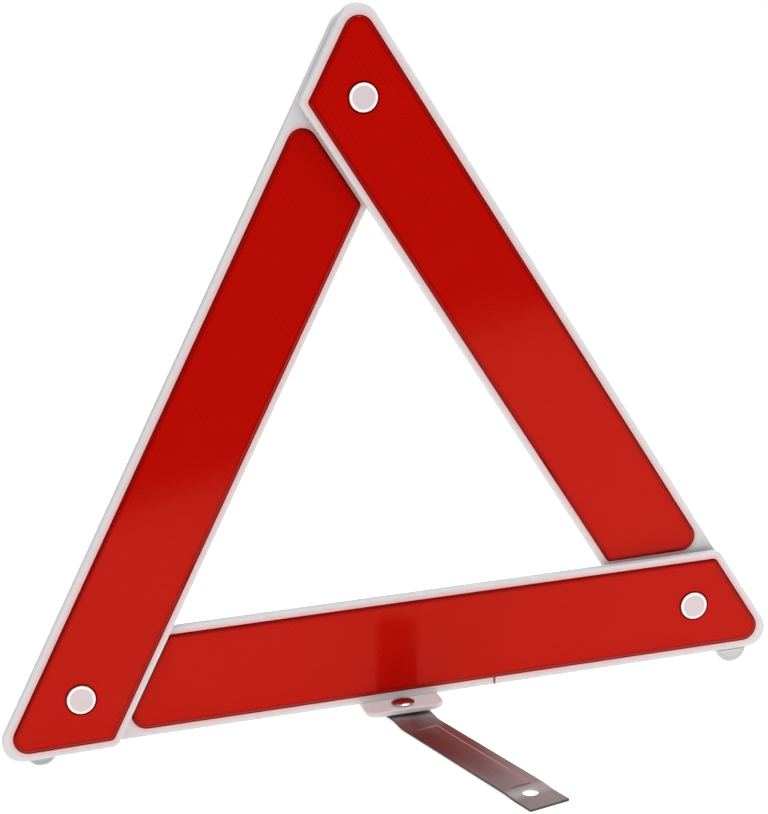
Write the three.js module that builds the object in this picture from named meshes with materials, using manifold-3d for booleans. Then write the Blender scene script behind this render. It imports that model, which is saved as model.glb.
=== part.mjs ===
// Folding roadside warning triangle, in millimetres, +Z up, front face towards -Y.
// The origin lies on the ground under the stand's rivet. Three flat arms make the triangle: at each
// corner the head of one arm lies in front of the tail of the next, so every arm leans back a little.
import * as THREE from "three";
import { mergeVertices } from "three/addons/utils/BufferGeometryUtils.js";
import Module from "manifold-3d";

const wasm = await Module();
wasm.setup();

// Triangle
const side = 450; // between the sharp outer corners
const armWidth = 59;
const armDepth = 5.8; // lens face to the back of the housing
const layerStep = 8.5; // how far a tail lies behind the head that covers it
const cornerRadius = 10.8; // outer corners of the triangle
const headCornerRadius = 5.2; // blunt corner at each end of an arm's inner edge
const tailInset = 4; // the tail's end stays this far inside the triangle's outline
const baseHeight = 7.6; // ground to the lower edge of the base arm
const frontPlane = 3; // distance of the heads' lens faces behind the origin

// Lens and housing
const lensProud = 0.6; // lens face above the white rim
const lensThickness = 2.6;
const lensBevel = 1; // width of the lens's sloping border
const outerRim = 4.8;
const innerRim = 4;
const headRim = 4.5;
const tailCover = 60.2; // the part of a tail that carries no lens
const tipRadius = 8; // lens corner at the head's point
const tailRadius = 8; // lens corner at the tail's outer side
const bluntRadius = 2.6; // the two inner lens corners
const smallestRadius = 0.4;
const lensGap = 0.3; // round the lens in its pocket
const seatGap = 0.2; // between faces that rest on each other
const backWall = 1.4;
const ledge = 2.2; // width of the step that the lens rests on
const ribCount = 5;
const ribThickness = 1.2;
const edgeRound = 0.7;

// Corner pivots
const discRadius = 7.6;
const discHeight = 0.9;
const discGap = 0.1; // under the disc
const discEdge = 0.4;
const shaftRadius = 3.6;
const shaftEdge = 0.4;
const shaftGap = 0.5; // round the shaft in its own arm
const tailHoleRadius = 4.7; // the arms are not quite parallel, so the tail's hole is wider
const bossRadius = 8;
const retainerRadius = 7.4;
const retainerThickness = 0.9;
const retainerInset = 1.5; // from the back of the tail in to the retainer's front face
const pocketRadius = 9;
const pocketDepth = 2.3;
const spacerRadius = 6.2;
const spacerThickness = 2.1;
const studReach = 1.2; // how far the snap stud's nose stands out behind its arm
const noseTaper = 1.4;
const noseLength = 0.9;
const socketRadius = 5.6;
const socketFlange = 7.4;
const socketLead = 0.8; // sloping mouth of the socket
const socketInset = 0.3; // its rear face, in from the back of the arm

// Stand
const tabHalfWidth = 21.8;
const tabReach = 9; // from the rivet's axis to the tab's front edge
const tabThickness = 2.6; // below the base arm's lower edge
const tabLift = 0.3; // its upper face, above that edge
const tabCornerRadius = 7;
const tabRootRadius = 1;
const standTurn = THREE.MathUtils.degToRad(13);
const barWidth = 23.2;
const barHalfLength = 148;
const barThickness = 1.2;
const barCornerRadius = 0.8;
const grooveHalfWidth = 6;
const grooveWall = 0.6;
const grooveDepth = 0.6;
const grooveFrom = 24; // from the rivet's axis
const grooveTo = 122;
const grooveFade = 3;
const archFrom = 7; // from the rivet's axis, the bar steps down to just above the ground
const archTo = 20;
const heelFrom = 123; // beyond here the bar comes down the last step on to the ground
const heelTo = 134;
const heelHeight = 0.7; // keeps the underside of the groove off the ground
const barLengthSteps = 42;
const endHoleRadius = 4.3;
const endHoleReach = 130;
const standRivetRadius = 3;
const standHoleRadius = 3.3;
const standHeadRadius = 6.6;
const standHeadHeight = 2.2;
const washerRadius = 6.5;
const washerThickness = 0.5;
const clinchRadius = 4.6;
const clinchThickness = 1;
const clinchEdge = 0.5;
const domeSteps = 6;

// Feet
const footRadius = 8.75;
const footX = 196.4;
const footInset = 1; // the centre of the foot's arc lies this far above the base's lower edge
const footThickness = 4.2;
const footBack = 0.5; // distance of its rear face from the back of the housing
const tongueWidth = 8;
const tongueThickness = 2;
const tongueHeight = 2.6;
const tongueGap = 0.25;
const tongueRoot = 1; // how far the tongue reaches down into the foot

// Moulding nick in the base arm's lower front edge
const nickWidth = 1.6;
const nickDepth = 2.4;
const nickOffset = 55; // from the middle of the arm

const root3 = Math.sqrt(3);
const halfWidth = armWidth / 2;
const cornerOverrun = halfWidth * root3; // along the arm, from a pivot to the sharp outer corner
const pivotSpan = side - 2 * cornerOverrun;
const tilt = Math.atan(layerStep / pivotSpan);
const armSpan = pivotSpan / Math.cos(tilt);
const lensSeat = lensThickness + seatGap;
const tailBack = layerStep + armDepth; // from a head's lens face to the back of the tail behind it
const through = 4 * armDepth; // long enough to cut right through an arm
const footAlong = pivotSpan / 2 - footX; // along the base arm, from its head's pivot
const footDepth = footBack + footThickness / 2 - armDepth;
const arcSteps = 4;
const roundSteps = 24;

const whitePlastic = new THREE.MeshStandardMaterial({ color: 0xdcd7d8, roughness: 0.45, metalness: 0 });
const redLens = new THREE.MeshStandardMaterial({ color: 0xbe1a10, roughness: 0.12, metalness: 0 });
const softWhite = new THREE.MeshStandardMaterial({ color: 0xd9d8d5, roughness: 0.7, metalness: 0 });
const steel = new THREE.MeshStandardMaterial({ color: 0xa9a7a8, roughness: 0.28, metalness: 1 });

function toSolid(geometry) {
  const bare = geometry.index ? geometry.toNonIndexed() : geometry.clone();
  bare.deleteAttribute("normal");
  bare.deleteAttribute("uv");
  const merged = mergeVertices(bare, 1e-4);
  return new wasm.Manifold(
    new wasm.Mesh({
      numProp: 3,
      vertProperties: merged.attributes.position.array,
      triVerts: new Uint32Array(merged.index.array),
    }),
  );
}

function toGeometry(solid) {
  const mesh = solid.getMesh();
  const geometry = new THREE.BufferGeometry();
  geometry.setAttribute("position", new THREE.BufferAttribute(mesh.vertProperties, 3));
  geometry.setIndex(new THREE.BufferAttribute(mesh.triVerts, 1));
  geometry.computeVertexNormals();
  return geometry;
}

function named(name, geometry, material) {
  const mesh = new THREE.Mesh(geometry, material);
  mesh.name = name;
  return mesh;
}

// A closed outline through the corners, counter-clockwise, each rounded to its own radius.
function roundedPolygon(corners, radii) {
  const shape = new THREE.Shape();
  corners.forEach((corner, i) => {
    const toBefore = corners.at(i - 1).clone().sub(corner).normalize();
    const toAfter = corners[(i + 1) % corners.length].clone().sub(corner).normalize();
    const halfAngle = Math.acos(toBefore.dot(toAfter)) / 2;
    const middle = toBefore.clone().add(toAfter).normalize();
    const centre = corner.clone().addScaledVector(middle, radii[i] / Math.sin(halfAngle));
    const reach = radii[i] / Math.tan(halfAngle);
    const start = corner.clone().addScaledVector(toBefore, reach).sub(centre);
    const end = corner.clone().addScaledVector(toAfter, reach).sub(centre);
    shape.absarc(centre.x, centre.y, radii[i], start.angle(), end.angle(), false);
  });
  shape.closePath();
  return shape;
}

// An arm's outline in its own plane: x runs from the head's pivot to the tail's, y points outwards.
// Each side can be moved in, and the radii go inner head, inner tail, outer tail, outer head.
function armOutline(insets, radii) {
  const { outer, inner, head, tail } = insets;
  const headX = (y) => -cornerOverrun + (halfWidth - y) / root3 + (2 * head) / root3;
  const tailX = (y) => armSpan + cornerOverrun - (halfWidth - y) / root3 - (2 * tail) / root3;
  const low = inner - halfWidth;
  const high = halfWidth - outer;
  const corners = [
    new THREE.Vector2(headX(low), low),
    new THREE.Vector2(tailX(low), low),
    new THREE.Vector2(tailX(high), high),
    new THREE.Vector2(headX(high), high),
  ];
  return roundedPolygon(corners, radii);
}

function slab(shape, back, front) {
  const geometry = new THREE.ExtrudeGeometry(shape, {
    depth: front - back,
    bevelEnabled: false,
    curveSegments: arcSteps,
  });
  return geometry.translate(0, 0, back);
}

function roundedSlab(shape, back, front, width, height, steps) {
  const geometry = new THREE.ExtrudeGeometry(shape, {
    depth: front - back - 2 * height,
    bevelEnabled: true,
    bevelThickness: height,
    bevelSize: width,
    bevelOffset: -width,
    bevelSegments: steps,
    curveSegments: arcSteps,
  });
  return geometry.translate(0, 0, back + height);
}

// A round bar along the arm's depth.
function rod(x, radius, back, front) {
  const geometry = new THREE.CylinderGeometry(radius, radius, front - back, roundSteps);
  geometry.rotateX(Math.PI / 2);
  return geometry.translate(x, 0, (front + back) / 2);
}

function lensInsets(grow) {
  return {
    outer: outerRim - grow,
    inner: innerRim - grow,
    head: headRim - grow,
    tail: tailCover - grow,
  };
}

function lensOutline(grow) {
  const radii = [bluntRadius, bluntRadius, tailRadius, tipRadius];
  return armOutline(
    lensInsets(grow),
    radii.map((radius) => Math.max(radius + grow, smallestRadius)),
  );
}

// The hollow behind the lens, with ribs across it and a solid boss left round the head's pivot.
function housingCavity() {
  const back = backWall - armDepth;
  let cavity = toSolid(slab(lensOutline(-ledge), back, seatGap - lensSeat));
  cavity = cavity.subtract(toSolid(rod(0, bossRadius, -through, through)));
  for (let i = 1; i <= ribCount; i += 1) {
    const rib = new THREE.BoxGeometry(ribThickness, armWidth, through);
    rib.translate((armSpan * i) / (ribCount + 1), 0, 0);
    cavity = cavity.subtract(toSolid(rib));
  }
  return cavity;
}

function housingSolid(tailBore) {
  const radii = [headCornerRadius, headCornerRadius, cornerRadius, cornerRadius];
  const outline = armOutline({ outer: 0, inner: 0, head: 0, tail: tailInset }, radii);
  let solid = toSolid(roundedSlab(outline, -armDepth, -lensProud, edgeRound, edgeRound, 1));
  solid = solid.subtract(toSolid(slab(lensOutline(lensGap), -lensSeat, armDepth)));
  solid = solid.subtract(housingCavity());
  solid = solid.subtract(toSolid(rod(0, shaftRadius + shaftGap, -through, through)));
  solid = solid.subtract(toSolid(rod(armSpan, tailBore, -through, through)));
  const pocketFloor = pocketDepth - armDepth;
  return solid.subtract(toSolid(rod(armSpan, pocketRadius, -through, pocketFloor)));
}

function lensGeometry() {
  const blank = roundedSlab(lensOutline(0), -lensThickness, 0, lensBevel, lensProud, 2);
  return toGeometry(toSolid(blank).subtract(toSolid(rod(0, shaftRadius + shaftGap, -through, through))));
}

// A turned piece on the pivot's axis; the profile gives radius and depth, from the axis round to the axis.
function turned(profile) {
  const points = profile.map(([radius, depth]) => new THREE.Vector2(radius, depth));
  return new THREE.LatheGeometry(points, roundSteps).rotateX(Math.PI / 2);
}

// White button head on the lens, with a shaft that reaches through both arms.
function pivotRivetGeometry() {
  const end = retainerInset - retainerThickness - tailBack;
  const top = discGap + discHeight;
  return turned([
    [0, end],
    [shaftRadius - shaftEdge, end],
    [shaftRadius, end + shaftEdge],
    [shaftRadius, discGap],
    [discRadius, discGap],
    [discRadius, top - discEdge],
    [discRadius - discEdge, top],
    [0, top],
  ]);
}

// The same button on the corner that opens, with a short round nose that snaps into the socket.
function cornerStudGeometry() {
  const end = -(armDepth + studReach);
  const top = discGap + discHeight;
  return turned([
    [0, end],
    [shaftRadius - noseTaper, end],
    [shaftRadius, end + noseLength],
    [shaftRadius, discGap],
    [discRadius, discGap],
    [discRadius, top - discEdge],
    [discRadius - discEdge, top],
    [0, top],
  ]);
}

// A ring on the pivot's axis, closed on itself.
function ringGeometry(innerRadius, outerRadius, back, front) {
  return turned([
    [innerRadius, back],
    [outerRadius, back],
    [outerRadius, front],
    [innerRadius, front],
    [innerRadius, back],
  ]);
}

function spacerGeometry() {
  const front = -(armDepth + seatGap);
  return ringGeometry(shaftRadius + seatGap, spacerRadius, front - spacerThickness, front);
}

function retainerGeometry() {
  const front = retainerInset - tailBack;
  return ringGeometry(shaftRadius + seatGap, retainerRadius, front - retainerThickness, front);
}

// Flanged bush pushed into the base arm's tail from behind; the corner stud's nose snaps into it.
function cornerSocketGeometry() {
  const back = socketInset - armDepth;
  const flangeTop = pocketDepth - armDepth - seatGap;
  const front = -(lensProud + seatGap);
  const bore = shaftRadius + shaftGap;
  return turned([
    [bore, back],
    [socketFlange, back],
    [socketFlange, flangeTop],
    [socketRadius, flangeTop],
    [socketRadius, front],
    [bore + socketLead, front],
    [bore, front - socketLead],
    [bore, back],
  ]).translate(armSpan, 0, 0);
}

// An arm's frame: its origin is the head's pivot at the lens face, x runs to the tail's pivot and
// leans back by the tilt, y points out of the triangle and z points to the front.
function armFrame(headX, headZ, direction) {
  const placed = new THREE.Group();
  placed.position.set(headX, frontPlane, headZ);
  placed.rotation.y = -direction;
  const leaning = new THREE.Group();
  leaning.rotation.set(Math.PI / 2, tilt, 0);
  placed.add(leaning);
  return { placed, leaning };
}

function standTab(frame) {
  const rivet = frame.worldToLocal(new THREE.Vector3(0, 0, 0));
  const front = rivet.z + tabReach;
  const corners = [
    new THREE.Vector2(rivet.x - tabHalfWidth, -armDepth + edgeRound),
    new THREE.Vector2(rivet.x + tabHalfWidth, -armDepth + edgeRound),
    new THREE.Vector2(rivet.x + tabHalfWidth, front),
    new THREE.Vector2(rivet.x - tabHalfWidth, front),
  ];
  const outline = roundedPolygon(corners, [tabRootRadius, tabRootRadius, tabCornerRadius, tabCornerRadius]);
  const plate = slab(outline, 0, tabThickness + tabLift);
  plate.rotateX(Math.PI / 2);
  plate.translate(0, halfWidth + tabThickness, 0);
  const hole = new THREE.CylinderGeometry(standHoleRadius, standHoleRadius, armWidth, roundSteps);
  hole.translate(rivet.x, halfWidth - tabThickness + armWidth / 2, rivet.z);
  return { plate: toSolid(plate), hole: toSolid(hole) };
}

function footSlot(x) {
  const width = tongueWidth + 2 * tongueGap;
  const height = 2 * (tongueHeight + tongueGap);
  const slot = new THREE.BoxGeometry(width, height, tongueThickness + 2 * tongueGap);
  return toSolid(slot.translate(x, halfWidth, footDepth));
}

// The base arm's housing also carries the stand's tab, the slots for the feet and a moulding nick.
function baseHousingGeometry(frame) {
  const tab = standTab(frame);
  let solid = housingSolid(socketRadius + seatGap);
  solid = solid.add(tab.plate).subtract(tab.hole);
  solid = solid.subtract(footSlot(footAlong));
  solid = solid.subtract(footSlot(armSpan - footAlong));
  const nick = new THREE.BoxGeometry(nickWidth, nickDepth, nickDepth);
  nick.translate(armSpan / 2 - nickOffset, halfWidth, -lensProud);
  return toGeometry(solid.subtract(toSolid(nick)));
}

// Half-round foot under the base's lower edge, with a tongue that goes up into the housing.
function footGeometry(x) {
  const flat = halfWidth + baseHeight;
  const centreY = halfWidth - footInset;
  const spread = Math.acos((flat - centreY) / footRadius);
  const top = halfWidth + seatGap;
  const rise = Math.asin((top - centreY) / footRadius);
  const shape = new THREE.Shape();
  shape.absarc(x, centreY, footRadius, rise, Math.PI / 2 - spread, false);
  shape.absarc(x, centreY, footRadius, Math.PI / 2 + spread, Math.PI - rise, false);
  shape.closePath();
  const back = footBack - armDepth;
  const body = toSolid(slab(shape, back, back + footThickness));
  const tongue = new THREE.BoxGeometry(tongueWidth, tongueHeight + tongueRoot, tongueThickness);
  tongue.translate(x, top - (tongueHeight - tongueRoot) / 2, footDepth);
  return toGeometry(body.add(toSolid(tongue)));
}

const smoothStep = THREE.MathUtils.smoothstep;

// Height of the bar's underside above the ground: raised under the tab, low beyond it, down at the ends.
function archHeight(y) {
  const rise = baseHeight - tabThickness - washerThickness - 2 * seatGap - barThickness;
  const heel = heelHeight * (1 - smoothStep(Math.abs(y), heelFrom, heelTo));
  return heel + (rise - heelHeight) * (1 - smoothStep(Math.abs(y), archFrom, archTo));
}

function grooveAt(x, y) {
  const across = 1 - smoothStep(Math.abs(x), grooveHalfWidth - grooveWall, grooveHalfWidth + grooveWall);
  const begins = smoothStep(Math.abs(y), grooveFrom, grooveFrom + grooveFade);
  const ends = 1 - smoothStep(Math.abs(y), grooveTo - grooveFade, grooveTo);
  return grooveDepth * across * begins * ends;
}

// Pressed steel bar, stepped so that only its ends stand on the ground, with long shallow grooves.
function standBarGeometry() {
  const stations = [-1, 0, 0, 0, 0, 0, 1].map((edge) => (edge * barWidth) / 2);
  stations[1] = -(grooveHalfWidth + grooveWall);
  stations[2] = grooveWall - grooveHalfWidth;
  stations[4] = -stations[2];
  stations[5] = -stations[1];
  const columns = stations.length - 1;
  const length = 2 * barHalfLength;
  const strip = new THREE.BoxGeometry(columns, length, barThickness, columns, barLengthSteps, 1);
  const position = strip.attributes.position;
  for (let i = 0; i < position.count; i += 1) {
    const x = stations[Math.round(position.getX(i) + columns / 2)];
    const y = position.getY(i);
    const z = position.getZ(i) + barThickness / 2 + archHeight(y);
    position.setXYZ(i, x, y, z - grooveAt(x, y));
  }
  const right = barWidth / 2;
  const corners = [
    new THREE.Vector2(-right, -barHalfLength),
    new THREE.Vector2(right, -barHalfLength),
    new THREE.Vector2(right, barHalfLength),
    new THREE.Vector2(-right, barHalfLength),
  ];
  const outline = roundedPolygon(corners, corners.map(() => barCornerRadius));
  let solid = toSolid(strip).intersect(toSolid(slab(outline, -armWidth, armWidth)));
  for (const y of [-endHoleReach, endHoleReach]) {
    solid = solid.subtract(toSolid(upright(endHoleRadius, y)));
  }
  return toGeometry(solid.subtract(toSolid(upright(standHoleRadius, 0))));
}

function upright(radius, y) {
  const geometry = new THREE.CylinderGeometry(radius, radius, armWidth, roundSteps);
  return geometry.rotateX(Math.PI / 2).translate(0, y, 0);
}

function uprightLathe(profile) {
  const points = profile.map(([radius, height]) => new THREE.Vector2(radius, height));
  return new THREE.LatheGeometry(points, roundSteps).rotateX(Math.PI / 2);
}

// Domed rivet through the tab, the bar and its two washers, spread out under the lower washer.
function standRivetGeometry() {
  const clinchTop = archHeight(0) - washerThickness - 2 * seatGap;
  const clinchBottom = clinchTop - clinchThickness;
  const headUnder = baseHeight + tabLift + seatGap;
  const profile = [
    [0, clinchBottom],
    [clinchRadius - clinchEdge, clinchBottom],
    [clinchRadius, clinchBottom + clinchEdge],
    [clinchRadius, clinchTop],
    [standRivetRadius, clinchTop],
    [standRivetRadius, headUnder],
    [standHeadRadius, headUnder],
  ];
  for (let i = 1; i < domeSteps; i += 1) {
    const angle = (i / domeSteps) * (Math.PI / 2);
    profile.push([standHeadRadius * Math.cos(angle), headUnder + standHeadHeight * Math.sin(angle)]);
  }
  profile.push([0, headUnder + standHeadHeight]);
  return uprightLathe(profile);
}

function standWasherGeometry(low) {
  const high = low + washerThickness;
  return uprightLathe([
    [standHoleRadius, low],
    [washerRadius, low],
    [washerRadius, high],
    [standHoleRadius, high],
    [standHoleRadius, low],
  ]);
}

const triangle = new THREE.Group();
triangle.name = "warning_triangle";

const pivotHeight = baseHeight + halfWidth;
const apexHeight = pivotHeight + (pivotSpan * root3) / 2;
const base = armFrame(pivotSpan / 2, pivotHeight, Math.PI);
const right = armFrame(0, apexHeight, -Math.PI / 3);
const left = armFrame(-pivotSpan / 2, pivotHeight, Math.PI / 3);
triangle.add(base.placed, right.placed, left.placed);
triangle.updateMatrixWorld(true);

base.leaning.add(
  named("base_housing", baseHousingGeometry(base.leaning), whitePlastic),
  named("base_lens", lensGeometry(), redLens),
  named("base_pivot_rivet", pivotRivetGeometry(), whitePlastic),
  named("base_pivot_spacer", spacerGeometry(), softWhite),
  named("base_pivot_retainer", retainerGeometry(), steel),
  named("corner_socket", cornerSocketGeometry(), softWhite),
  named("right_foot", footGeometry(footAlong), softWhite),
  named("left_foot", footGeometry(armSpan - footAlong), softWhite),
);
right.leaning.add(
  named("right_housing", toGeometry(housingSolid(tailHoleRadius)), whitePlastic),
  named("right_lens", lensGeometry(), redLens),
  named("apex_pivot_rivet", pivotRivetGeometry(), whitePlastic),
  named("apex_pivot_spacer", spacerGeometry(), softWhite),
  named("apex_pivot_retainer", retainerGeometry(), steel),
);
left.leaning.add(
  named("left_housing", toGeometry(housingSolid(tailHoleRadius)), whitePlastic),
  named("left_lens", lensGeometry(), redLens),
  named("corner_stud", cornerStudGeometry(), whitePlastic),
);

const barUnderside = archHeight(0);
const stand = new THREE.Group();
stand.rotation.z = standTurn;
stand.add(
  named("stand_bar", standBarGeometry(), steel),
  named("upper_stand_washer", standWasherGeometry(barUnderside + barThickness + seatGap), steel),
  named("lower_stand_washer", standWasherGeometry(barUnderside - seatGap - washerThickness), steel),
);
triangle.add(stand, named("stand_rivet", standRivetGeometry(), steel));

export default triangle;
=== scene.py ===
# Looks of the folding warning triangle. Lengths are in millimetres until a mesh is made, which scales
# them to metres. Each arm is made in its own frame: x runs from the pivot in its head to the pivot in
# its tail, y points out of the triangle, z points to the front, and z = 0 is the face of the lens.
import math

import bmesh
import bpy
from mathutils import Matrix, Vector


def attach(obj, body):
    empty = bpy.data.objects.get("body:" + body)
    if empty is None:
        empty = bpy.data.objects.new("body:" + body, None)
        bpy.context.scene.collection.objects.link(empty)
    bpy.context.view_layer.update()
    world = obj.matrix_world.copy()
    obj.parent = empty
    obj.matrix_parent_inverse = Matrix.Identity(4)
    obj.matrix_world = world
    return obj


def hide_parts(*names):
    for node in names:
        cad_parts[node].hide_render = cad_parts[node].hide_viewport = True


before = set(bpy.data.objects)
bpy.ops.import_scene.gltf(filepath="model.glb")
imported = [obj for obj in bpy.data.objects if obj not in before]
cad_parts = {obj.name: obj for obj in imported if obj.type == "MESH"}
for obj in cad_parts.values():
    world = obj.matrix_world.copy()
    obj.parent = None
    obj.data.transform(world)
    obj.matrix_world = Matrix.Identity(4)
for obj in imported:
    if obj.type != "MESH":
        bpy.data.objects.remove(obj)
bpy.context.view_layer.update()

MM = 0.001

# Triangle
SIDE = 450
ARM_WIDTH = 59
ARM_DEPTH = 5.8
LAYER_STEP = 8.5
BASE_HEIGHT = 7.6
FRONT_PLANE = 3
CORNER_RADIUS = 10.8
HEAD_CORNER_RADIUS = 5.2
TAIL_INSET = 4

HALF_WIDTH = ARM_WIDTH / 2
ROOT3 = math.sqrt(3)
OVERRUN = HALF_WIDTH * ROOT3
PIVOT_SPAN = SIDE - 2 * OVERRUN
TILT = math.atan(LAYER_STEP / PIVOT_SPAN)
ARM_SPAN = PIVOT_SPAN / math.cos(TILT)

# Housing and lens
LENS_PROUD = 0.6
LENS_THICKNESS = 2.6
LENS_SEAT = 2.8
OUTER_RIM = 4.8
INNER_RIM = 4
HEAD_RIM = 4.5
TAIL_COVER = 60.2
LENS_RADII = (2.6, 2.6, 8, 8)
HOUSING_RADII = (HEAD_CORNER_RADIUS, HEAD_CORNER_RADIUS, CORNER_RADIUS, CORNER_RADIUS)
LENS_GAP = 0.3
DISH_MARGIN = 1.1
EDGE_ROUND = 0.8
BACK_RECESS = 1.0
BACK_RIB = 2.2
BACK_MARGIN = 5
BOSS_RADIUS = 13
TRUSS_BAYS = 9
NICK_OFFSET = 55
ARM_THROUGH = (-20, 20)

# Corner pivots
DISC_RADIUS = 7.6
DISC_TOP = 1.0
DISC_UNDER = 0.1
DISC_RING_FROM = 6.0
SHAFT_RADIUS = 3.6
STUD_NOSE = 1.2
SHAFT_HOLE = 4.1
TAIL_HOLE = 4.7
SOCKET_RADIUS = 5.6
POCKET_RADIUS = 9
POCKET_DEPTH = 2.3
RETAINER_RADIUS = 7.4
RETAINER_FRONT = 1.5 - LAYER_STEP - ARM_DEPTH
RETAINER_THICKNESS = 0.9
RETAINER_SLOTS = 6
SPACER_RADIUS = 6.2
SPACER_THICKNESS = 2.1
FLANGE_RADIUS = 7.4

# Stand
TAB_HALF_WIDTH = 21.8
TAB_REACH = 9
TAB_THICKNESS = 2.6
TAB_LIFT = 0.3
TAB_CORNER_RADIUS = 7
STAND_TURN = math.radians(13)
BAR_HALF_WIDTH = 11.6
BAR_HALF_LENGTH = 148
BAR_THICKNESS = 1.2
BAR_CORNER_RADIUS = 0.8
END_HOLE_RADIUS = 4.3
END_HOLE_REACH = 130
HEEL_HEIGHT = 0.7
HEEL = (123, 134)
ARCH = (7, 20)
GROOVE_HALF_WIDTH = 6.2
GROOVE_WALL = 0.2
GROOVE_DEPTH = 0.66
GROOVE = (24, 122)
GROOVE_FADE = 2.6
SEAT_GAP = 0.2
WASHER_RADIUS = 6.5
WASHER_THICKNESS = 0.5
RIVET_HOLE = 3.3
RIVET_RADIUS = 3
RIVET_HEAD_RADIUS = 6.6
RIVET_DOME = 1.9
CLINCH_RADIUS = 4.6
STAND_THROUGH = (-5, 12)

# Feet
FOOT_RADIUS = 8.75
FOOT_X = 196.4
FOOT_THICKNESS = 4.2
FOOT_BACK = 0.5 - ARM_DEPTH

# Stage, in metres
FLOOR_REACH = 14
WALL_RADIUS = 13.5


# ---------------------------------------------------------------- shapes

def rounded(corners, radii, steps=8):
    """A closed outline through the corners, each turned into an arc of its own radius."""
    points = []
    for i, corner in enumerate(corners):
        corner = Vector(corner)
        before = (Vector(corners[i - 1]) - corner).normalized()
        after = (Vector(corners[(i + 1) % len(corners)]) - corner).normalized()
        half = before.angle(after) / 2
        centre = corner + (before + after).normalized() * radii[i] / math.sin(half)
        reach = radii[i] / math.tan(half)
        start = corner + before * reach - centre
        end = corner + after * reach - centre
        sweep = math.atan2(start.cross(end), start.dot(end))
        first = math.atan2(start.y, start.x)
        for k in range(steps + 1):
            angle = first + sweep * k / steps
            points.append(centre + radii[i] * Vector((math.cos(angle), math.sin(angle))))
    return points


def arm_outline(outer, inner, head, tail, radii):
    """The arm's outline with each side moved in."""
    def head_x(y):
        return -OVERRUN + (HALF_WIDTH - y) / ROOT3 + 2 * head / ROOT3

    def tail_x(y):
        return ARM_SPAN + OVERRUN - (HALF_WIDTH - y) / ROOT3 - 2 * tail / ROOT3

    low = inner - HALF_WIDTH
    high = HALF_WIDTH - outer
    corners = [(head_x(low), low), (tail_x(low), low), (tail_x(high), high), (head_x(high), high)]
    return rounded(corners, radii)


def shell_ring(inset):
    """The housing's outline, moved in."""
    radii = [max(r - inset, 0.3) for r in HOUSING_RADII]
    return arm_outline(inset, inset, inset, TAIL_INSET + inset, radii)


def lens_ring(grow):
    """The lens's outline, moved out."""
    radii = [max(r + grow, 0.3) for r in LENS_RADII]
    return arm_outline(OUTER_RIM - grow, INNER_RIM - grow, HEAD_RIM - grow, TAIL_COVER - grow, radii)


def circle(radius, x=0, y=0, steps=48):
    """A closed round outline."""
    turns = [2 * math.pi * k / steps for k in range(steps)]
    return [Vector((x + radius * math.cos(t), y + radius * math.sin(t))) for t in turns]


def quarter(radius, steps=5):
    """The two offsets along a rounded edge, from the face's side to the wall's side."""
    for k in range(steps + 1):
        angle = math.pi / 2 * k / steps
        yield radius * (1 - math.sin(angle)), radius * (1 - math.cos(angle))


def make(name, points, faces, matrix, paint=None):
    """A mesh object from points in millimetres. paint is a number for each point, for the material."""
    mesh = bpy.data.meshes.new(name)
    mesh.from_pydata([matrix @ (Vector(p) * MM) for p in points], [], faces)
    work = bmesh.new()
    work.from_mesh(mesh)
    bmesh.ops.remove_doubles(work, verts=work.verts, dist=1e-7)
    bmesh.ops.recalc_face_normals(work, faces=work.faces)
    work.to_mesh(mesh)
    work.free()
    obj = bpy.data.objects.new(name, mesh)
    bpy.context.scene.collection.objects.link(obj)
    if paint is not None:
        lookup = {tuple(round(c, 7) for c in matrix @ (Vector(p) * MM)): v for p, v in zip(points, paint)}
        layer = mesh.attributes.new("paint", "FLOAT", "CORNER")
        for loop in mesh.loops:
            place = tuple(round(c, 7) for c in mesh.vertices[loop.vertex_index].co)
            layer.data[loop.index].value = lookup.get(place, 0)
    return obj


def repaint(obj, matrix, rule):
    """Sets paint by a rule on each corner's place and its face's middle, in the matrix's own frame.
    A rule that gives None keeps the paint."""
    mesh = obj.data
    layer = mesh.attributes.get("paint") or mesh.attributes.new("paint", "FLOAT", "CORNER")
    back = matrix.inverted()
    places = [back @ v.co / MM for v in mesh.vertices]
    for face in mesh.polygons:
        middle = back @ face.center / MM
        for k in face.loop_indices:
            value = rule(places[mesh.loops[k].vertex_index], middle)
            if value is not None:
                layer.data[k].value = value


def sleeve(count, rows):
    """Faces of a closed solid through rows of count points each: one end, the walls, the other end."""
    faces = [list(range(count))]
    for r in range(rows - 1):
        for k in range(count):
            a = r * count + k
            b = r * count + (k + 1) % count
            faces.append([a, b, b + count, a + count])
    last = (rows - 1) * count
    faces.append([last + k for k in range(count)])
    return faces


def loft(name, rings, matrix, paint=None):
    """A closed solid through rings of the same number of points; rings are (outline, z)."""
    count = len(rings[0][0])
    points = [(p[0], p[1], z) for outline, z in rings for p in outline]
    values = None
    if paint is not None:
        values = [v for v in paint for _ in range(count)]
    return make(name, points, sleeve(count, len(rings)), matrix, values)


def turned(name, profile, matrix, steps=64):
    """A lathe solid about z. The profile is (radius, z), closed; points on the axis are shared."""
    points = []
    rows = []
    for radius, z in profile:
        if radius == 0:
            rows.append([len(points)] * steps)
            points.append((0, 0, z))
            continue
        rows.append([len(points) + k for k in range(steps)])
        for k in range(steps):
            angle = 2 * math.pi * k / steps
            points.append((radius * math.cos(angle), radius * math.sin(angle), z))
    faces = []
    for r in range(len(rows)):
        low, high = rows[r], rows[(r + 1) % len(rows)]
        if profile[r][0] == 0 and profile[(r + 1) % len(rows)][0] == 0:
            continue
        for k in range(steps):
            n = (k + 1) % steps
            face = []
            for v in (low[k], low[n], high[n], high[k]):
                if v not in face:
                    face.append(v)
            faces.append(face)
    return make(name, points, faces, matrix)


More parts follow.
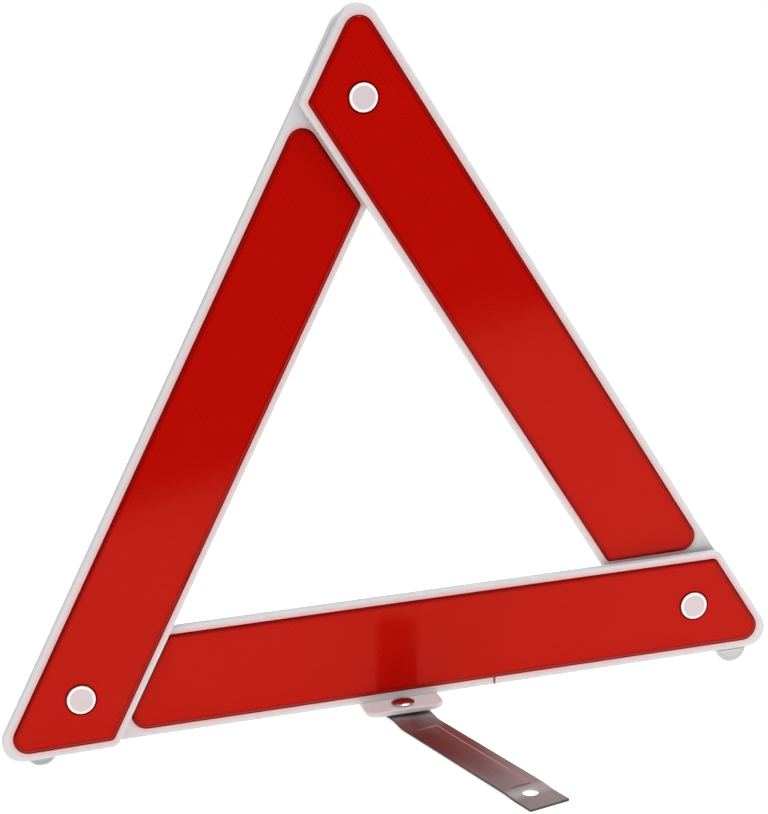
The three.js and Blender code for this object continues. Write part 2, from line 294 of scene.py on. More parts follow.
def softened(profile, radii, steps=4):
    """A lathe profile with its corners rounded; a radius of 0 keeps the corner sharp."""
    result = []
    outline = rounded(profile, [max(r, 1e-4) for r in radii], steps)
    for i, r in enumerate(radii):
        part = outline[i * (steps + 1):(i + 1) * (steps + 1)]
        if r == 0:
            result.append(tuple(profile[i]))
        else:
            result += [(p.x, p.y) for p in part]
    return result


def cutter(outline, back, front, matrix, flare=0):
    """A prism to cut with. With a flare its back end widens a little, which breaks the cut's edge."""
    rings = [(outline, back), (outline, front)]
    if flare:
        centre = sum(outline, Vector((0, 0))) / len(outline)
        wide = [p + (p - centre).normalized() * flare for p in outline]
        rings = [(wide, back), (outline, back + 1 + flare), (outline, front)]
    return loft("cutter", rings, matrix)


def apply_modifiers(obj):
    """Puts the result of the modifiers into the object's mesh."""
    graph = bpy.context.evaluated_depsgraph_get()
    mesh = bpy.data.meshes.new_from_object(obj.evaluated_get(graph))
    obj.modifiers.clear()
    obj.data = mesh


def combine(obj, tools, operation="DIFFERENCE"):
    """Cuts the tools out of obj, or joins them to it, and removes them."""
    for tool in tools:
        modifier = obj.modifiers.new("cut", "BOOLEAN")
        modifier.object = tool
        modifier.operation = operation
        modifier.solver = "EXACT"
    apply_modifiers(obj)
    for tool in tools:
        bpy.data.objects.remove(tool)


def smooth(obj, angle=32):
    """Smooth shading that stays crisp at corners sharper than the angle."""
    work = bmesh.new()
    work.from_mesh(obj.data)
    for face in work.faces:
        face.smooth = True
    for edge in work.edges:
        edge.smooth = edge.is_manifold and edge.calc_face_angle(0) < math.radians(angle)
    work.to_mesh(obj.data)
    work.free()
    weighted = obj.modifiers.new("weighted", "WEIGHTED_NORMAL")
    weighted.keep_sharp = True


def finish_piece(obj, body, nodes, material):
    """Shades the piece, hangs it on its body's frame and hides the CAD nodes that it replaces."""
    smooth(obj)
    obj.data.materials.clear()
    obj.data.materials.append(material)
    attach(obj, body)
    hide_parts(*nodes)


# ---------------------------------------------------------------- frames

def arm_matrix(head_x, head_z, degrees):
    """From an arm's own frame to the model's, with millimetres already scaled."""
    angle = math.radians(degrees)
    c = math.cos(TILT)
    s = math.sin(TILT)
    along = Vector((math.cos(angle) * c, s, math.sin(angle) * c))
    out = Vector((-math.sin(angle), 0, math.cos(angle)))
    front = along.cross(out)
    matrix = Matrix((along, out, front)).transposed().to_4x4()
    matrix.translation = Vector((head_x, FRONT_PLANE, head_z)) * MM
    return matrix


PIVOT_HEIGHT = BASE_HEIGHT + HALF_WIDTH
ARMS = {
    "base": arm_matrix(PIVOT_SPAN / 2, PIVOT_HEIGHT, 180),
    "right": arm_matrix(0, PIVOT_HEIGHT + PIVOT_SPAN * ROOT3 / 2, -60),
    "left": arm_matrix(-PIVOT_SPAN / 2, PIVOT_HEIGHT, 60),
}
STAND = Matrix.Rotation(STAND_TURN, 4, "Z")
UPRIGHT = Matrix.Identity(4)


# ---------------------------------------------------------------- materials

class Shader:
    """A material with one Principled shader, and short calls for the nodes that feed it."""

    def __init__(self, name, color, roughness, metallic=0.0):
        self.material = bpy.data.materials.new(name)
        self.material.use_nodes = True
        self.tree = self.material.node_tree
        self.bsdf = self.tree.nodes["Principled BSDF"]
        self.bsdf.inputs["Base Color"].default_value = (*color, 1)
        self.bsdf.inputs["Roughness"].default_value = roughness
        self.bsdf.inputs["Metallic"].default_value = metallic
        self.coordinates = self.node("ShaderNodeTexCoord").outputs["Object"]

    def node(self, kind, **settings):
        made = self.tree.nodes.new(kind)
        for key, value in settings.items():
            setattr(made, key, value)
        return made

    def link(self, output, target):
        if isinstance(target, str):
            target = self.bsdf.inputs[target]
        self.tree.links.new(output, target)

    def feed(self, socket, value):
        if isinstance(value, bpy.types.NodeSocket):
            self.link(value, socket)
        else:
            socket.default_value = value

    def math(self, operation, a, b=0.0):
        made = self.node("ShaderNodeMath", operation=operation)
        for socket, value in zip(made.inputs, (a, b)):
            self.feed(socket, value)
        return made.outputs[0]

    def dot(self, direction):
        made = self.node("ShaderNodeVectorMath", operation="DOT_PRODUCT")
        self.link(self.coordinates, made.inputs[0])
        made.inputs[1].default_value = direction
        return made.outputs["Value"]

    def noise(self, scale, detail, directions=None):
        """Noise over the object's coordinates, or over their parts along three directions."""
        source = self.coordinates
        if directions:
            joined = self.node("ShaderNodeCombineXYZ")
            for socket, direction in zip(joined.inputs, directions):
                self.link(self.dot(direction), socket)
            source = joined.outputs[0]
        made = self.node("ShaderNodeTexNoise")
        self.link(source, made.inputs["Vector"])
        made.inputs["Scale"].default_value = scale
        made.inputs["Detail"].default_value = detail
        return made.outputs["Fac"]

    def spread(self, value, low, high, start=0.0, end=1.0):
        """Carries start..end over to low..high."""
        made = self.node("ShaderNodeMapRange")
        for socket, number in zip(made.inputs, (value, start, end, low, high)):
            self.feed(socket, number)
        return made.outputs[0]

    def blend(self, factor, a, b):
        made = self.node("ShaderNodeMix", data_type="RGBA")
        self.feed(made.inputs["Factor"], factor)
        for socket, value in zip((made.inputs[6], made.inputs[7]), (a, b)):
            self.feed(socket, (*value, 1) if isinstance(value, tuple) else value)
        return made.outputs[2]

    def bump(self, height, strength, distance):
        made = self.node("ShaderNodeBump")
        made.inputs["Strength"].default_value = strength
        made.inputs["Distance"].default_value = distance
        self.link(height, made.inputs["Height"])
        self.link(made.outputs[0], "Normal")


def painted(shader):
    """The number that a mesh carries at its corners, which tells the material where it is."""
    attribute = shader.node("ShaderNodeAttribute", attribute_name="paint")
    return attribute.outputs["Fac"]


DEEP_RED = (0.42, 0.0019, 0.0006)
CLEAR_RED = (0.49, 0.0036, 0.0014)
BORDER_RED = (0.25, 0.0008, 0.0004)
# Painted shade: the deep red where shade falls in narrow gaps beside a lens.
GAP_SHADE_RED = (0.22, 0.004, 0.002)
# Painted highlight on the groove walls of the stand's bar.
GROOVE_HIGHLIGHT_STEEL = (0.92, 0.8, 0.8)
# How much darker the bar's edges and ends are made.
EDGE_DARKENING = 0.2
PRISM_PITCH = 2.3


def plastic(name, color, roughness, painted_light=None):
    """Moulded plastic: faint clouding, uneven gloss and a fine surface. Paint up to 1 brings in painted
    light, and from 1 to 2 a painted deep red shade for narrow gaps beside a lens."""
    shader = Shader(name, color, roughness)
    darker = tuple(0.94 * c for c in color)
    tone = shader.blend(shader.noise(55, 3), darker, color)
    # Painted light up to paint 1 (pink red light from a lens, or a highlight); painted deep red shade
    # from 1 to 2.
    if painted_light:
        tone = shader.blend(shader.spread(painted(shader), 0, 1), tone, painted_light)
        tone = shader.blend(shader.spread(painted(shader), 0, 1, 1, 2), tone, GAP_SHADE_RED)
    shader.link(tone, "Base Color")
    shader.link(shader.spread(shader.noise(140, 3), roughness - 0.06, roughness + 0.08), "Roughness")
    shader.bump(shader.noise(900, 2), 0.12, 0.0002)
    return shader.material


def prism_lens(name, matrix):
    """Clear red face over rows of small prisms in three directions, with a plain dark border."""
    shader = Shader(name, DEEP_RED, 0.1)
    shader.bsdf.inputs["Specular Tint"].default_value = (1, 0.2, 0.12, 1)
    pitch = PRISM_PITCH * MM
    waves = []
    for degrees in (30, 90, 150):
        turn = math.radians(degrees)
        across = matrix.to_3x3() @ Vector((math.cos(turn), math.sin(turn), 0))
        phase = shader.math("FRACT", shader.math("DIVIDE", shader.dot(across), pitch))
        waves.append(shader.math("ABSOLUTE", shader.math("SUBTRACT", phase, 0.5)))
    relief = shader.math("MINIMUM", shader.math("MINIMUM", waves[0], waves[1]), waves[2])
    cells = shader.spread(relief, 0.0, 1.0, 0.0, 0.25)
    cloud = shader.noise(26, 3)
    shade = shader.math("ADD", shader.math("MULTIPLY", cells, 0.6), shader.math("MULTIPLY", cloud, 0.5))
    tone = shader.blend(shade, DEEP_RED, CLEAR_RED)
    # Paint 1 brings the dark red: the plain border without prisms, and painted shade in the dish round
    # the button.
    tone = shader.blend(painted(shader), tone, BORDER_RED)
    shader.link(tone, "Base Color")
    shader.link(shader.spread(shader.noise(60, 2), 0.06, 0.14), "Roughness")
    shader.bump(relief, 0.05, 0.0003)
    return shader.material


def rolled_steel(name, color, roughness, along, across, grain=0.4):
    """Rolled sheet steel with fine lines along its length and a few stains. Paint of 1 makes the
    edges and ends darker, and -1 paints a highlight on the groove walls."""
    shader = Shader(name, color, roughness, 1.0)
    shader.bsdf.inputs["Anisotropic"].default_value = 0.3
    lines = shader.noise(420, 4, (along * 0.02, across, Vector((0, 0, 1))))
    blotches = shader.noise(30, 4, (along * 0.35, across, Vector((0, 0, 1))))
    dark = tuple(0.72 * c for c in color)
    light = tuple(min(1, 1.25 * c) for c in color)
    tone = shader.blend(shader.spread(blotches, 0, 1, 0.35, 0.7), dark, color)
    tone = shader.blend(shader.spread(lines, 0, grain, 0.45, 0.75), tone, light)
    darker_edge = tuple(EDGE_DARKENING * c for c in color)
    # Paint 1 makes the edges and ends darker; paint -1 is a painted highlight on the groove walls.
    tone = shader.blend(shader.spread(painted(shader), 0, 1), tone, darker_edge)
    tone = shader.blend(shader.spread(painted(shader), 0, 1, 0, -1), tone, GROOVE_HIGHLIGHT_STEEL)
    shader.link(tone, "Base Color")
    rough_lines = shader.math("MULTIPLY", lines, 0.18)
    uneven = shader.math("ADD", rough_lines, shader.math("MULTIPLY", blotches, 0.12))
    shader.link(shader.math("ADD", uneven, roughness - 0.15), "Roughness")
    shader.bump(lines, 0.15, 0.0001)
    return shader.material


def plated(name, color, roughness):
    """Bright plated metal with a slightly uneven polish."""
    shader = Shader(name, color, roughness, 1.0)
    patches = shader.noise(300, 3)
    tone = shader.blend(patches, tuple(0.85 * c for c in color), color)
    shader.link(tone, "Base Color")
    shader.link(shader.spread(patches, roughness - 0.04, roughness + 0.08), "Roughness")
    shader.bump(shader.noise(1500, 2), 0.06, 0.0001)
    return shader.material


# The white's painted light is pink red light from the lens beside it; the button's is a painted highlight
# on its raised ring.
WHITE = plastic("white_plastic", (0.69, 0.675, 0.68), 0.42, painted_light=(0.80, 0.42, 0.43))
BUTTON = plastic("button_plastic", (0.70, 0.60, 0.615), 0.36, painted_light=(0.97, 0.89, 0.89))
SOFT_WHITE = plastic("soft_white_plastic", (0.61, 0.615, 0.6), 0.6)
LENSES = {name: prism_lens(name + "_prism_lens", matrix) for name, matrix in ARMS.items()}
BAR_ALONG = Vector((-math.sin(STAND_TURN), math.cos(STAND_TURN), 0))
BAR_ACROSS = Vector((math.cos(STAND_TURN), math.sin(STAND_TURN), 0))
STEEL = rolled_steel("stand_steel", (0.36, 0.35, 0.355), 0.36, BAR_ALONG, BAR_ACROSS)
RIVET_STEEL = plated("rivet_steel", (0.62, 0.6, 0.61), 0.14)
ZINC = plated("zinc_steel", (0.6, 0.6, 0.585), 0.3)


# ---------------------------------------------------------------- arms

def truss_pockets(matrix, start, end):
    """Three-cornered recesses in an arm's back, which leave a zigzag of ribs between them."""
    low = BACK_MARGIN - HALF_WIDTH
    high = HALF_WIDTH - BACK_MARGIN
    bay = (end - start) / TRUSS_BAYS
    tools = []
    for i in range(TRUSS_BAYS):
        left = start + i * bay
        foot, peak = (low, high) if i % 2 == 0 else (high, low)
        corners = [(left - bay / 2, foot), (left + 1.5 * bay, foot), (left + bay / 2, peak)]
        corners = [(min(max(x, start), end), y) for x, y in corners]
        if foot == high:
            corners.reverse()
        centre = sum((Vector(c) for c in corners), Vector((0, 0))) / 3
        shrunk = []
        for corner in corners:
            toward = centre - Vector(corner)
            shrunk.append(Vector(corner) + toward.normalized() * BACK_RIB)
        outline = rounded(shrunk, (2.2, 2.2, 2.2), 5)
        tools.append(cutter(outline, -ARM_DEPTH - 1, BACK_RECESS - ARM_DEPTH, matrix, flare=0.3))
    return tools


def housing(name, matrix, tail_hole):
    """The white shell: rounded edges, a small bead round the lens's pocket and a ribbed back."""
    rings = []
    nearness = []
    for inset, rise in quarter(EDGE_ROUND):
        rings.append((shell_ring(inset), rise - ARM_DEPTH))
        nearness.append(0)
    for inset, drop in reversed(list(quarter(EDGE_ROUND))):
        rings.append((shell_ring(inset), -LENS_PROUD - drop))
        nearness.append(0)
    # The third number is paint: rising to 1 towards the lens for painted pink light from it, and 2 on the
    # pocket's wall for painted deep red shade in the gap.
    bead = [
        (3.0, -0.62, 0),
        (2.4, -0.62, 0.35),
        (1.5, -0.62, 0.6),
        (1.2, -0.56, 0.7),
        (1.0, -0.48, 0.8),
        (0.8, -0.43, 0.9),
        (0.6, -0.44, 1),
        (0.42, -0.52, 1),
        (LENS_GAP, -0.7, 2),
        (LENS_GAP, -LENS_SEAT, 2),
    ]
    for grow, z, near in bead:
        rings.append((lens_ring(grow), z))
        nearness.append(near)
    obj = loft(name, rings, matrix, nearness)
    pocket = circle(POCKET_RADIUS, ARM_SPAN)
    tools = [
        cutter(circle(SHAFT_HOLE), *ARM_THROUGH, matrix),
        cutter(circle(tail_hole, ARM_SPAN), *ARM_THROUGH, matrix),
        cutter(pocket, -ARM_DEPTH - 1, POCKET_DEPTH - ARM_DEPTH, matrix, flare=0.3),
    ]
    tools += truss_pockets(matrix, BOSS_RADIUS, ARM_SPAN - BOSS_RADIUS - 4)
    combine(obj, tools)
    return obj


def lens(name, matrix):
    """The red face: a block with a rounded sloping border and a dish for the button."""
    rings = [(lens_ring(-0.2), -LENS_THICKNESS), (lens_ring(0), 0.2 - LENS_THICKNESS)]
    nearness = [1, 1]
    pillow = [
        (0, -0.78, 1),
        (-0.06, -0.68, 1),
        (-0.2, -0.58, 1),
        (-0.9, -0.1, 0.9),
        (-1.15, -0.02, 0.75),
        (-1.5, 0, 0.6),
        (-2.2, 0, 0.45),
        (-2.9, 0, 0),
    ]
    for grow, z, near in pillow:
        rings.append((lens_ring(grow), z))
        nearness.append(near)
    obj = loft(name, rings, matrix, nearness)
    bottom = circle(DISC_RADIUS + 0.7)
    brim = circle(DISC_RADIUS + DISH_MARGIN)
    dish = [(bottom, -0.9), (brim, 0.1), (brim, 2)]
    combine(obj, [cutter(circle(SHAFT_HOLE), *ARM_THROUGH, matrix), loft("cutter", dish, matrix)])

    # The dish round the button takes the dark border red as painted shade round the button.
    def tint(place, middle):
        return 1 if middle.xy.length < DISC_RADIUS + DISH_MARGIN else None

    repaint(obj, matrix, tint)
    return obj


def paint_button(obj, matrix):
    """Marks the raised ring, which is paler than the middle because light gathers in its round edge."""
    def ring_value(place, middle):
        return min(max((place.xy.length - DISC_RING_FROM) / 0.5, 0), 1) if place.z > 0 else 0

    repaint(obj, matrix, ring_value)
    return obj


def button_profile():
    """Face of a corner button: a raised rounded ring about a slightly dished middle."""
    top = DISC_TOP
    face = [(0, top - 0.3), (DISC_RING_FROM, top - 0.3), (DISC_RING_FROM + 0.5, top), (DISC_RADIUS, top)]
    face += [(DISC_RADIUS, DISC_UNDER), (SHAFT_RADIUS, DISC_UNDER)]
    return face, [0, 0.5, 0.4, 0.45, 0.1, 0]


def pivot_rivet(name, matrix):
    """A button rivet whose shaft reaches to the back of its retainer."""
    end = RETAINER_FRONT - RETAINER_THICKNESS
    face, radii = button_profile()
    profile = face + [(SHAFT_RADIUS, end), (0, end)]
    return paint_button(turned(name, softened(profile, radii + [0.5, 0]), matrix), matrix)


def corner_stud(name, matrix):
    """The button of the corner that opens, with its nose cut short behind the arm."""
    end = -ARM_DEPTH - STUD_NOSE
    face, radii = button_profile()
    profile = face + [(SHAFT_RADIUS, end + 0.9), (SHAFT_RADIUS - 1.4, end), (0, end)]
    return paint_button(turned(name, softened(profile, radii + [0.5, 0.4, 0]), matrix), matrix)


def ring(name, inner, outer, low, high, matrix):
    """A flat ring with slightly rounded edges: a spacer or a washer."""
    profile = [(inner, low), (outer, low), (outer, high), (inner, high)]
    return turned(name, softened(profile, [0.12] * 4, 3), matrix)


def retainer(name, matrix):
    """Push-on retainer: a slightly domed ring, cut by slots so that its tongues grip the shaft."""
    front = RETAINER_FRONT
    back = front - RETAINER_THICKNESS
    inner = SHAFT_RADIUS + SEAT_GAP
    profile = [(inner, back), (5.4, back), (RETAINER_RADIUS, back + 0.35)]
    profile += [(RETAINER_RADIUS, front), (inner, front)]
    obj = turned(name, softened(profile, [0.15, 0.3, 0.12, 0.15, 0.1], 3), matrix)
    tools = []
    for k in range(RETAINER_SLOTS):
        turn = matrix @ Matrix.Rotation(2 * math.pi / RETAINER_SLOTS * k, 4, "Z")
        slot = rounded([(3, -0.55), (5.6, -0.55), (5.6, 0.55), (3, 0.55)], (0.05, 0.5, 0.5, 0.05), 4)
        tools.append(cutter(slot, -20, -8, turn))
    combine(obj, tools)
    return obj


def corner_socket(name, matrix):
    """The flanged bush in the base arm's tail, with a lead-in at its mouth."""
    bore = SHAFT_HOLE
    back = 0.3 - ARM_DEPTH
    flange = POCKET_DEPTH - ARM_DEPTH - SEAT_GAP
    front = -LENS_PROUD - SEAT_GAP
    profile = [(bore, back), (FLANGE_RADIUS, back), (FLANGE_RADIUS, flange), (SOCKET_RADIUS, flange)]
    profile += [(SOCKET_RADIUS, front), (bore + 0.8, front), (bore, front - 0.8)]
    radii = [0.2, 0.3, 0.1, 0.1, 0.2, 0.2, 0.2]
    return turned(name, softened(profile, radii, 3), matrix @ Matrix.Translation((ARM_SPAN * MM, 0, 0)))


def stand_tab(matrix):
    """The plate under the base arm that the stand's rivet goes through."""
    rivet = matrix.inverted() @ Vector((0, 0, 0)) / MM
    back = EDGE_ROUND - ARM_DEPTH
    front = rivet.z + TAB_REACH
    turn = matrix @ Matrix.Rotation(math.pi / 2, 4, "X")
    rings = []
    low = -HALF_WIDTH - TAB_THICKNESS
    high = -HALF_WIDTH + TAB_LIFT

    def outline(inset):
        left = rivet.x - TAB_HALF_WIDTH + inset
        right = rivet.x + TAB_HALF_WIDTH - inset
        edge = front - inset
        corners = [(left, back), (right, back), (right, edge), (left, edge)]
        return rounded(corners, (0.5, 0.5, TAB_CORNER_RADIUS - inset, TAB_CORNER_RADIUS - inset), 10)

    for inset, rise in quarter(0.7):
        rings.append((outline(inset), low + rise))
    for inset, drop in reversed(list(quarter(0.6))):
        rings.append((outline(inset), high - drop))
    return loft("tab", rings, turn)


def base_housing(matrix):
    """The base arm's shell with the stand's tab and a small wedge-shaped nick in its rim."""
    obj = housing("base_housing_shell", matrix, SOCKET_RADIUS + SEAT_GAP)
    combine(obj, [stand_tab(matrix)], "UNION")
    nick_x = ARM_SPAN / 2 - NICK_OFFSET
    lens_edge = HALF_WIDTH - OUTER_RIM - 0.6
    nick = [(0.35, HALF_WIDTH + 1), (-0.35, HALF_WIDTH + 1), (-0.9, lens_edge), (0.9, lens_edge)]
    nick = [Vector((nick_x + x, y)) for x, y in nick]
    combine(obj, [cutter(circle(RIVET_HOLE), *STAND_THROUGH, UPRIGHT), cutter(nick, -1.3, 1, matrix)])

    # Paint 0.2 on the tab in front is painted pink light from the lens; 1.7 inside the nick is painted
    # deep red shade in the notch.
    def tint(place, middle):
        if place.z > 0.3:
            return 0.2
        inside = abs(middle.x - nick_x) < 0.95 and middle.y > lens_edge and -2 < middle.z < -0.7
        return 1.7 if inside and abs(place.x - nick_x) < 0.95 else None

    repaint(obj, matrix, tint)
    return obj


def foot(name, x, matrix):
    """Half-round foot with rounded edges and a raised rim on its faces."""
    centre = HALF_WIDTH - 1

    def outline(inset):
        radius = FOOT_RADIUS - inset
        flat = HALF_WIDTH + BASE_HEIGHT - inset
        top = HALF_WIDTH + SEAT_GAP + inset
        cut = math.acos((flat - centre) / radius)
        rise = math.asin((top - centre) / radius)
        angles = [rise + (math.pi / 2 - cut - rise) * k / 12 for k in range(13)]
        angles += [math.pi - a for a in reversed(angles)]
        return [Vector((x + radius * math.cos(a), centre + radius * math.sin(a))) for a in angles]

    rim = [(2.0, 0.4), (1.6, 0.08), (1.4, 0)] + list(quarter(0.6))
    front = FOOT_BACK + FOOT_THICKNESS
    rings = [(outline(inset), FOOT_BACK + depth) for inset, depth in rim]
    rings += [(outline(inset), front - depth) for inset, depth in reversed(rim)]
    return loft(name, rings, matrix)


# ---------------------------------------------------------------- stand

def step(value, start, end):
    """A smooth rise from 0 at start to 1 at end."""
    t = min(max((value - start) / (end - start), 0), 1)
    return t * t * (3 - 2 * t)


BAR_RISE = BASE_HEIGHT - TAB_THICKNESS - WASHER_THICKNESS - 2 * SEAT_GAP - BAR_THICKNESS


def arch(y):
    """How high the bar's underside is above the ground."""
    heel = HEEL_HEIGHT * (1 - step(abs(y), *HEEL))
    return heel + (BAR_RISE - HEEL_HEIGHT) * (1 - step(abs(y), *ARCH))


def groove(x, y):
    """How deep the groove is pressed in."""
    across = 1 - step(abs(x), GROOVE_HALF_WIDTH - GROOVE_WALL, GROOVE_HALF_WIDTH + GROOVE_WALL)
    begins = step(abs(y), GROOVE[0], GROOVE[0] + GROOVE_FADE)
    ends = 1 - step(abs(y), GROOVE[1] - GROOVE_FADE, GROOVE[1])
    return GROOVE_DEPTH * across * begins * ends


def stand_bar():
    """Pressed strip: stepped by the rivet, rounded at its edges, with a shallow groove in each half."""
    corner = BAR_CORNER_RADIUS
    stations = [k * 2.5 for k in range(-58, 59)]
    stations += [s * (BAR_HALF_LENGTH - e) for s in (-1, 1) for e in (0, 0.06, 0.2, 0.4, 0.6, 0.8)]
    for end in (GROOVE[0], GROOVE[1] - 3):
        stations += [s * (end + k * 0.5) for s in (-1, 1) for k in range(7)]
    stations = sorted(set(round(y, 3) for y in stations))
    rings = []
    for y in stations:
        past = max(abs(y) - (BAR_HALF_LENGTH - corner), 0)
        half = BAR_HALF_WIDTH - corner + math.sqrt(max(corner ** 2 - past ** 2, 0))
        pinch = 0.25 if abs(y) == BAR_HALF_LENGTH else 0
        top = BAR_THICKNESS - pinch
        section = [(half - 0.35, top), (half - 0.1, top - 0.1), (half, top - 0.35)]
        section += [(half, 0.3 + pinch), (half - 0.1, 0.1 + pinch), (half - 0.35, pinch)]
        inner = [GROOVE_HALF_WIDTH + GROOVE_WALL * k for k in (1, 0.6, 0.25, -0.25, -0.6, -1)] + [2.6, 0]
        under = [(x, pinch) for x in inner] + [(-x, pinch) for x in reversed(inner[:-1])]
        mirrored = [(-x, z) for x, z in reversed(section)]
        over = [(x, top) for x, _ in reversed(under)]
        loop = section + under + mirrored + over
        rings.append([(x, y, z + arch(y) - groove(x, y)) for x, z in loop])
    points = [p for row in rings for p in row]
    obj = make("stand_bar_steel", points, sleeve(len(rings[0]), len(rings)), STAND)
    holes = [circle(END_HOLE_RADIUS, 0, s * END_HOLE_REACH) for s in (-1, 1)]
    tools = [cutter(hole, *STAND_THROUGH, STAND) for hole in holes]
    combine(obj, tools + [cutter(circle(RIVET_HOLE), *STAND_THROUGH, STAND)])

    # Paint 1 darkens the bar's edges and ends; -1 paints a highlight on the groove walls.
    def tint(place, middle):
        if abs(middle.x) > BAR_HALF_WIDTH - 0.34 or abs(middle.y) > BAR_HALF_LENGTH - 0.3:
            return 1
        on_wall = abs(abs(middle.x) - GROOVE_HALF_WIDTH) < GROOVE_WALL + 0.05
        return -1 if on_wall and GROOVE[0] < abs(middle.y) < GROOVE[1] else 0

    repaint(obj, STAND, tint)
    return obj


def stand_rivet():
    """Domed rivet from the tab down through the bar and both washers to its clinch."""
    under = BASE_HEIGHT + TAB_LIFT + SEAT_GAP
    clinch = arch(0) - WASHER_THICKNESS - 2 * SEAT_GAP
    brim = under + 0.3
    profile = [(0, clinch - 1), (CLINCH_RADIUS - 0.5, clinch - 1), (CLINCH_RADIUS, clinch - 0.5)]
    profile += [(CLINCH_RADIUS, clinch), (RIVET_RADIUS, clinch), (RIVET_RADIUS, under)]
    profile += [(RIVET_HEAD_RADIUS - 0.3, under), (RIVET_HEAD_RADIUS, brim - 0.05)]
    for k in range(1, 16):
        angle = math.pi / 2 * k / 16
        profile.append((RIVET_HEAD_RADIUS * math.cos(angle), brim + RIVET_DOME * math.sin(angle)))
    profile.append((0, brim + RIVET_DOME))
    return turned("stand_rivet_steel", profile, UPRIGHT)


# ---------------------------------------------------------------- the object

for arm, body in (("base", "base_arm"), ("right", "right_arm"), ("left", "left_arm")):
    place = ARMS[arm]
    shell = base_housing(place) if arm == "base" else housing(arm + "_housing_shell", place, TAIL_HOLE)
    finish_piece(shell, body, [arm + "_housing"], WHITE)
    finish_piece(lens(arm + "_reflector", place), body, [arm + "_lens"], LENSES[arm])

for corner, arm, body in (("base", "base", "base_arm"), ("apex", "right", "right_arm")):
    place = ARMS[arm]
    rivet = pivot_rivet(corner + "_button_rivet", place)
    finish_piece(rivet, body, [corner + "_pivot_rivet"], BUTTON)
    front = -ARM_DEPTH - SEAT_GAP
    back = front - SPACER_THICKNESS
    spacer = ring(corner + "_spacer_ring", SHAFT_RADIUS + SEAT_GAP, SPACER_RADIUS, back, front, place)
    finish_piece(spacer, body, [corner + "_pivot_spacer"], SOFT_WHITE)
    clip = retainer(corner + "_push_retainer", place)
    finish_piece(clip, body, [corner + "_pivot_retainer"], ZINC)

stud = corner_stud("left_corner_button", ARMS["left"])
finish_piece(stud, "left_arm", ["corner_stud"], BUTTON)
bush = corner_socket("corner_bush", ARMS["base"])
finish_piece(bush, "base_arm", ["corner_socket"], SOFT_WHITE)
for name, x in (("right", PIVOT_SPAN / 2 - FOOT_X), ("left", ARM_SPAN - PIVOT_SPAN / 2 + FOOT_X)):
    piece = foot(name + "_half_round_foot", x, ARMS["base"])
    finish_piece(piece, "base_arm", [name + "_foot"], SOFT_WHITE)

finish_piece(stand_bar(), "stand", ["stand_bar"], STEEL)
finish_piece(stand_rivet(), "base_arm", ["stand_rivet"], RIVET_STEEL)
above_bar = arch(0) + BAR_THICKNESS + SEAT_GAP
below_bar = arch(0) - SEAT_GAP - WASHER_THICKNESS
for name, low in (("upper", above_bar), ("lower", below_bar)):
    washer = ring(name + "_flat_washer", RIVET_HOLE, WASHER_RADIUS, low, low + WASHER_THICKNESS, STAND)
    finish_piece(washer, "stand", [name + "_stand_washer"], ZINC)


# ---------------------------------------------------------------- floor, light and camera

def stage_piece(name, points, faces, shader, unseen_by=()):
    """A piece of the stage, hidden from the kinds of ray that are listed."""
    mesh = bpy.data.meshes.new(name)
    mesh.from_pydata(points, [], faces)
    mesh.materials.append(shader.material)
    obj = bpy.data.objects.new(name, mesh)
    bpy.context.scene.collection.objects.link(obj)
    for kind in unseen_by:
        setattr(obj, "visible_" + kind, False)


def glowing(name, color, roughness, strength):
    """A shader with its own white light."""
    shader = Shader(name, color, roughness)
    shader.bsdf.inputs["Emission Color"].default_value = (1, 1, 1, 1)
    shader.bsdf.inputs["Emission Strength"].default_value = strength
    return shader


def floor():
    """Plain pale floor."""
    far = FLOOR_REACH
    corners = [(-far, -far, 0), (far, -far, 0), (far, far, 0), (-far, far, 0)]
    stage_piece("floor", corners, [(0, 1, 2, 3)], glowing("pale_floor", (0.9, 0.9, 0.9), 0.7, 0.65))


def backdrop():
    """White wall far round the floor, which only the camera sees, so that no horizon shows."""
    count = 48
    bottom = circle(WALL_RADIUS, steps=count)
    points = [(p.x, p.y, z) for z in (-1, 12) for p in bottom]
    faces = [(k, (k + 1) % count, (k + 1) % count + count, k + count) for k in range(count)]
    white = glowing("backdrop_white", (0, 0, 0), 1.0, 1.1)
    stage_piece("backdrop", points, faces, white, ("diffuse", "glossy", "transmission", "shadow"))


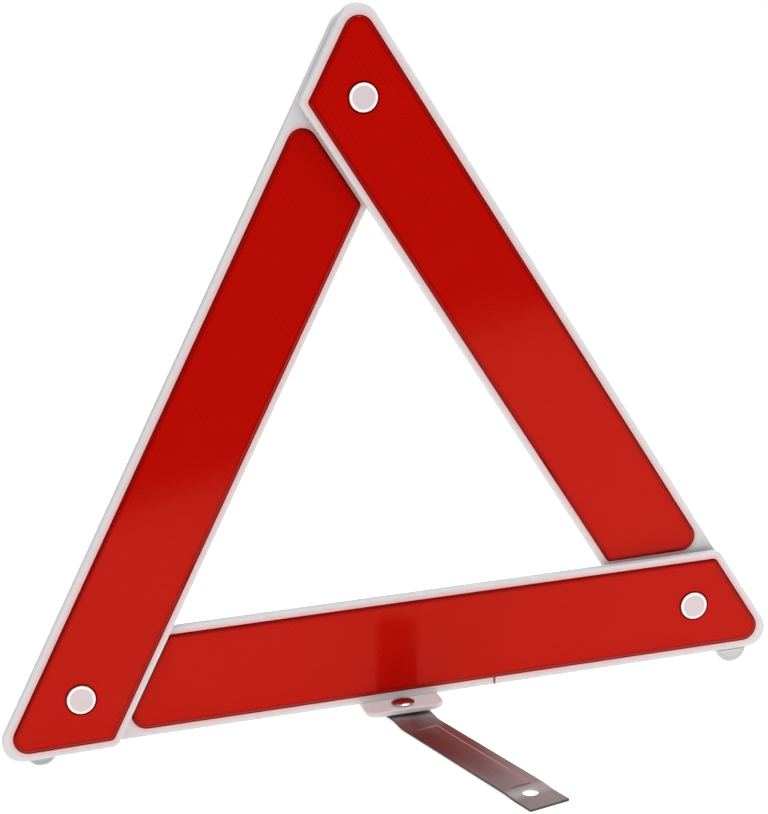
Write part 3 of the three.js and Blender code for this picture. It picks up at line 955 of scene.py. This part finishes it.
def dark_card():
    """A dark card on the floor in front, seen by mirror-like faces only. Each lens's upper half mirrors
    it. Its near edge lies along x, and bends away from the object on the right."""
    far = FLOOR_REACH
    lift = 0.002
    near_edge = -0.5
    bend = -0.137
    right_edge = -8.88
    points = [(-far, near_edge, lift), (bend, near_edge, lift), (far, right_edge, lift)]
    points += [(far, -far, lift), (-far, -far, lift)]
    black = Shader("card_black", (0.02, 0.02, 0.02), 0.9)
    unseen_by = ("camera", "diffuse", "transmission", "shadow")
    stage_piece("dark_card", points, [(0, 1, 2, 3, 4)], black, unseen_by)


def area_light(name, place, aim, size, watts):
    """A square soft light, in metres and watts."""
    data = bpy.data.lights.new(name, "AREA")
    data.shape = "SQUARE"
    data.size = size
    data.energy = watts
    obj = bpy.data.objects.new(name, data)
    bpy.context.scene.collection.objects.link(obj)
    obj.location = place
    obj.rotation_euler = (Vector(aim) - Vector(place)).to_track_quat("-Z", "Y").to_euler()


def camera():
    """The viewing angle of the photograph, about the middle of the triangle."""
    azimuth = math.radians(-14.759)
    elevation = math.radians(13.602)
    roll = math.radians(-3.598)
    target = Vector((0.6, 3, 174.26)) * MM
    distance = 1.1754
    back = Vector((
        math.sin(azimuth) * math.cos(elevation),
        -math.cos(azimuth) * math.cos(elevation),
        math.sin(elevation),
    ))
    level = (-back).cross(Vector((0, 0, 1))).normalized()
    upright = level.cross(-back)
    right = level * math.cos(roll) + upright * math.sin(roll)
    up = upright * math.cos(roll) - level * math.sin(roll)
    data = bpy.data.cameras.new("camera")
    data.sensor_fit = "VERTICAL"
    data.sensor_height = 36
    data.lens = 97.85
    obj = bpy.data.objects.new("camera", data)
    bpy.context.scene.collection.objects.link(obj)
    matrix = Matrix((right, up, back)).transposed().to_4x4()
    matrix.translation = target + back * distance
    obj.matrix_world = matrix
    bpy.context.scene.camera = obj


def studio_world():
    """Even white light from all round."""
    world = bpy.data.worlds.new("studio")
    world.use_nodes = True
    background = world.node_tree.nodes["Background"]
    background.inputs["Color"].default_value = (1, 1, 1, 1)
    background.inputs["Strength"].default_value = 0.42
    bpy.context.scene.world = world


floor()
backdrop()
dark_card()
camera()
studio_world()
area_light("key", (-0.7, -1.1, 1.5), (0, 0, 0.15), 0.9, 3.5)
area_light("top", (0.4, -0.2, 1.7), (0, 0, 0), 1.0, 16)
area_light("rear", (0.9, 1.3, 1.1), (0, 0, 0.15), 0.8, 5)
bpy.context.scene.view_settings.view_transform = "Standard"
